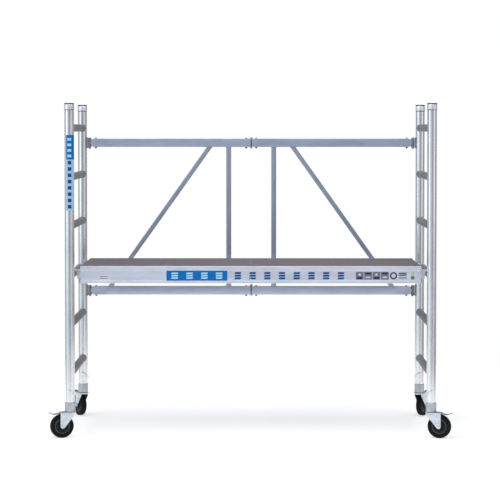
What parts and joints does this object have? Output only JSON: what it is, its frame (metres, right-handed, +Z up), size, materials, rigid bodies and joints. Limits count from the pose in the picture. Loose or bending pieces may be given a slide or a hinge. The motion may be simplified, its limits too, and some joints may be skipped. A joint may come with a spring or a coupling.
{
  "type": "folding baker scaffold on casters",
  "caption": "Narrow folding aluminium scaffold: ladder frames on braked swivel casters, a hinged rear brace frame and a lift-off platform hooked over the rungs.",
  "frame": {"origin": "centre of the footprint, on the floor", "axes": "+X along the bay, +Y from the open front to the braced rear, +Z up"},
  "size_m": [2.1314, 0.8605, 1.763],
  "materials": {
    "tube": "brushed, satin",
    "rung": "extruded with grip ridges",
    "brace": "mill finish rectangular tube",
    "beam": "anodised extrusion",
    "cast": "mill finish",
    "zinc": "bright zinc plate",
    "collar": "matt zinc plate",
    "deck": "phenolic faced plywood, anti-slip",
    "cap": "moulded",
    "tyre": "moulded rubber",
    "rim": "moulded nylon"
  },
  "bodies": {
    "left_frame": {"front_left_upright": "tube", "front_left_cap": "cap", "rear_left_upright": "tube", "rear_left_cap": "cap", "left_rung_1": "rung", "left_rung_2": "rung", "left_rung_3": "rung", "left_rung_4": "rung", "left_rung_5": "rung", "left_rung_6": "rung", "front_left_caster_stem": "collar", "rear_left_caster_stem": "collar", "left_lower_hinge_bracket": "cast", "left_upper_hinge_bracket": "cast"},
    "left_brace": {"left_brace_frame": "brace", "lower_centre_hinge_pin": "zinc", "upper_centre_hinge_pin": "zinc"},
    "right_brace": {"right_brace_frame": "brace"},
    "right_frame": {"front_right_upright": "tube", "front_right_cap": "cap", "rear_right_upright": "tube", "rear_right_cap": "cap", "right_rung_1": "rung", "right_rung_2": "rung", "right_rung_3": "rung", "right_rung_4": "rung", "right_rung_5": "rung", "right_rung_6": "rung", "front_right_caster_stem": "collar", "rear_right_caster_stem": "collar", "right_lower_hinge_bracket": "cast", "right_upper_hinge_bracket": "cast"},
    "platform": {"platform_deck": "deck", "platform_front_beam": "beam", "platform_rear_beam": "beam", "platform_right_hook_beam": "cast", "platform_left_hook_beam": "cast", "platform_cross_member_1": "cast", "platform_cross_member_2": "cast", "platform_cross_member_3": "cast"},
    "front_left_caster": {"front_left_fork": "zinc"},
    "front_left_wheel": {"front_left_tyre": "tyre", "front_left_wheel_centre": "rim"},
    "front_left_pedal": {"front_left_brake_pedal": "zinc"},
    "front_left_pin": {"front_left_locking_pin": "zinc"},
    "front_right_caster": {"front_right_fork": "zinc"},
    "front_right_wheel": {"front_right_tyre": "tyre", "front_right_wheel_centre": "rim"},
    "front_right_pedal": {"front_right_brake_pedal": "zinc"},
    "front_right_pin": {"front_right_locking_pin": "zinc"},
    "rear_left_caster": {"rear_left_fork": "zinc"},
    "rear_left_wheel": {"rear_left_tyre": "tyre", "rear_left_wheel_centre": "rim"},
    "rear_left_pedal": {"rear_left_brake_pedal": "zinc"},
    "rear_left_pin": {"rear_left_locking_pin": "zinc"},
    "rear_right_caster": {"rear_right_fork": "zinc"},
    "rear_right_wheel": {"rear_right_tyre": "tyre", "rear_right_wheel_centre": "rim"},
    "rear_right_pedal": {"rear_right_brake_pedal": "zinc"},
    "rear_right_pin": {"rear_right_locking_pin": "zinc"}
  },
  "joints": [
    {"name": "left_corner_fold", "type": "hinge", "parent": "left_frame", "child": "left_brace", "pos_m": [-0.9115, 0.3232, 0], "axis": [0, 0, -1], "range_deg": [0, 2.5]},
    {"name": "centre_fold", "type": "hinge", "parent": "left_brace", "child": "right_brace", "pos_m": [0, 0.3447, 0], "axis": [0, 0, 1], "range_deg": [0, 5]},
    {"name": "right_corner_fold", "type": "hinge", "parent": "right_brace", "child": "right_frame", "pos_m": [0.9115, 0.3232, 0], "axis": [0, 0, -1], "range_deg": [0, 2.5]},
    {"name": "platform_lift", "type": "slide", "parent": "left_frame", "child": "platform", "axis": [0, 0, 1], "range_m": [0, 0.15]},
    {"name": "front_left_swivel", "type": "hinge", "parent": "left_frame", "child": "front_left_caster", "pos_m": [-0.9525, -0.3768, 0.13], "axis": [0, 0, 1], "continuous": true},
    {"name": "front_left_roll", "type": "hinge", "parent": "front_left_caster", "child": "front_left_wheel", "pos_m": [-0.99479, -0.39219, 0.0625], "axis": [0.342, -0.9397, 0], "continuous": true},
    {"name": "front_left_brake", "type": "hinge", "parent": "front_left_caster", "child": "front_left_pedal", "pos_m": [-0.99573, -0.39253, 0.1295], "axis": [0.342, -0.9397, 0], "range_deg": [0, 8]},
    {"name": "front_left_pin_pull", "type": "slide", "parent": "left_frame", "child": "front_left_pin", "axis": [0, -1, 0], "range_m": [0, 0.07]},
    {"name": "front_right_swivel", "type": "hinge", "parent": "right_frame", "child": "front_right_caster", "pos_m": [0.9525, -0.3768, 0.13], "axis": [0, 0, 1], "continuous": true},
    {"name": "front_right_roll", "type": "hinge", "parent": "front_right_caster", "child": "front_right_wheel", "pos_m": [0.99479, -0.39219, 0.0625], "axis": [0.342, 0.9397, 0], "continuous": true},
    {"name": "front_right_brake", "type": "hinge", "parent": "front_right_caster", "child": "front_right_pedal", "pos_m": [0.99573, -0.39253, 0.1295], "axis": [0.342, 0.9397, 0], "range_deg": [0, 8]},
    {"name": "front_right_pin_pull", "type": "slide", "parent": "right_frame", "child": "front_right_pin", "axis": [0, -1, 0], "range_m": [0, 0.07]},
    {"name": "rear_left_swivel", "type": "hinge", "parent": "left_frame", "child": "rear_left_caster", "pos_m": [-0.9525, 0.3232, 0.13], "axis": [0, 0, 1], "continuous": true},
    {"name": "rear_left_roll", "type": "hinge", "parent": "rear_left_caster", "child": "rear_left_wheel", "pos_m": [-0.975, 0.36217, 0.0625], "axis": [-0.866, -0.5, 0], "continuous": true},
    {"name": "rear_left_brake", "type": "hinge", "parent": "rear_left_caster", "child": "rear_left_pedal", "pos_m": [-0.9755, 0.36304, 0.1295], "axis": [-0.866, -0.5, 0], "range_deg": [0, 8]},
    {"name": "rear_left_pin_pull", "type": "slide", "parent": "left_frame", "child": "rear_left_pin", "axis": [0, -1, 0], "range_m": [0, 0.07]},
    {"name": "rear_right_swivel", "type": "hinge", "parent": "right_frame", "child": "rear_right_caster", "pos_m": [0.9525, 0.3232, 0.13], "axis": [0, 0, 1], "continuous": true},
    {"name": "rear_right_roll", "type": "hinge", "parent": "rear_right_caster", "child": "rear_right_wheel", "pos_m": [0.975, 0.36217, 0.0625], "axis": [-0.866, 0.5, 0], "continuous": true},
    {"name": "rear_right_brake", "type": "hinge", "parent": "rear_right_caster", "child": "rear_right_pedal", "pos_m": [0.9755, 0.36304, 0.1295], "axis": [-0.866, 0.5, 0], "range_deg": [0, 8]},
    {"name": "rear_right_pin_pull", "type": "slide", "parent": "right_frame", "child": "rear_right_pin", "axis": [0, -1, 0], "range_m": [0, 0.07]}
  ],
  "couplings": [
    {"joint": "centre_fold", "follows": "left_corner_fold", "ratio": 2},
    {"joint": "right_corner_fold", "follows": "left_corner_fold", "ratio": 1}
  ]
}
